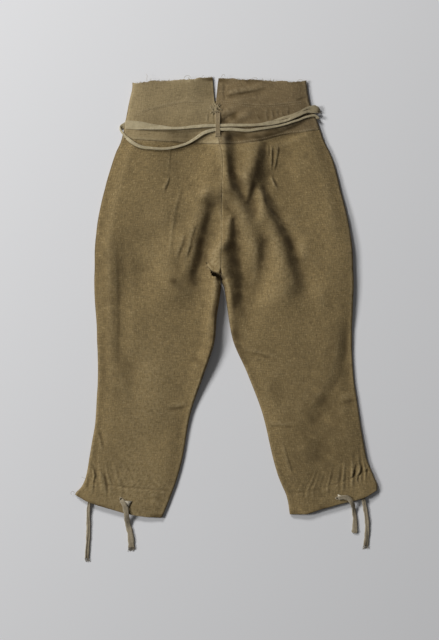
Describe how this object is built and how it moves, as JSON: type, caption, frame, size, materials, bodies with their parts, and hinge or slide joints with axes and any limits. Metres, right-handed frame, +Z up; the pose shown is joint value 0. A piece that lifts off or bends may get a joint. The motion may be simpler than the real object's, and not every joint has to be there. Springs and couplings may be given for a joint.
{
  "type": "military trousers",
  "caption": "High-waisted khaki army trousers laid flat, back side up, with a split back waistband, waist tapes through a belt loop and tied tapered hems.",
  "frame": {"origin": "on the surface that the garment lies on, under the middle of the laid-out cloth, the free ties left out", "axes": "+Y towards the waist, along the length of the garment; +X towards the wearer's right side, as the back lies up; +Z up, out of the surface"},
  "size_m": [0.645, 1.0272, 0.0285],
  "materials": {
    "khaki_cloth": "coarse matt khaki cotton drill with a mixed yarn",
    "waistband_cloth": "matt khaki cotton drill, doubled and topstitched",
    "woven_tape": "plain woven beige cotton tape",
    "tie_tape": "narrow beige cotton tape, rubbed and frayed at the end"
  },
  "bodies": {
    "root": {"back_leg_left": "khaki_cloth", "back_leg_right": "khaki_cloth", "front_leg_left": "khaki_cloth", "front_leg_right": "khaki_cloth", "waistband_back_left": "waistband_cloth", "waistband_back_right": "waistband_cloth", "waistband_front_left": "waistband_cloth", "waistband_front_right": "waistband_cloth", "belt_loop": "waistband_cloth", "waist_tape_left": "woven_tape", "waist_tape_right": "woven_tape", "fly_shield": "khaki_cloth", "tie_left_outer": "tie_tape", "tie_left_inner": "tie_tape", "tie_right_inner": "tie_tape", "tie_right_outer": "tie_tape"}
  },
  "joints": []
}
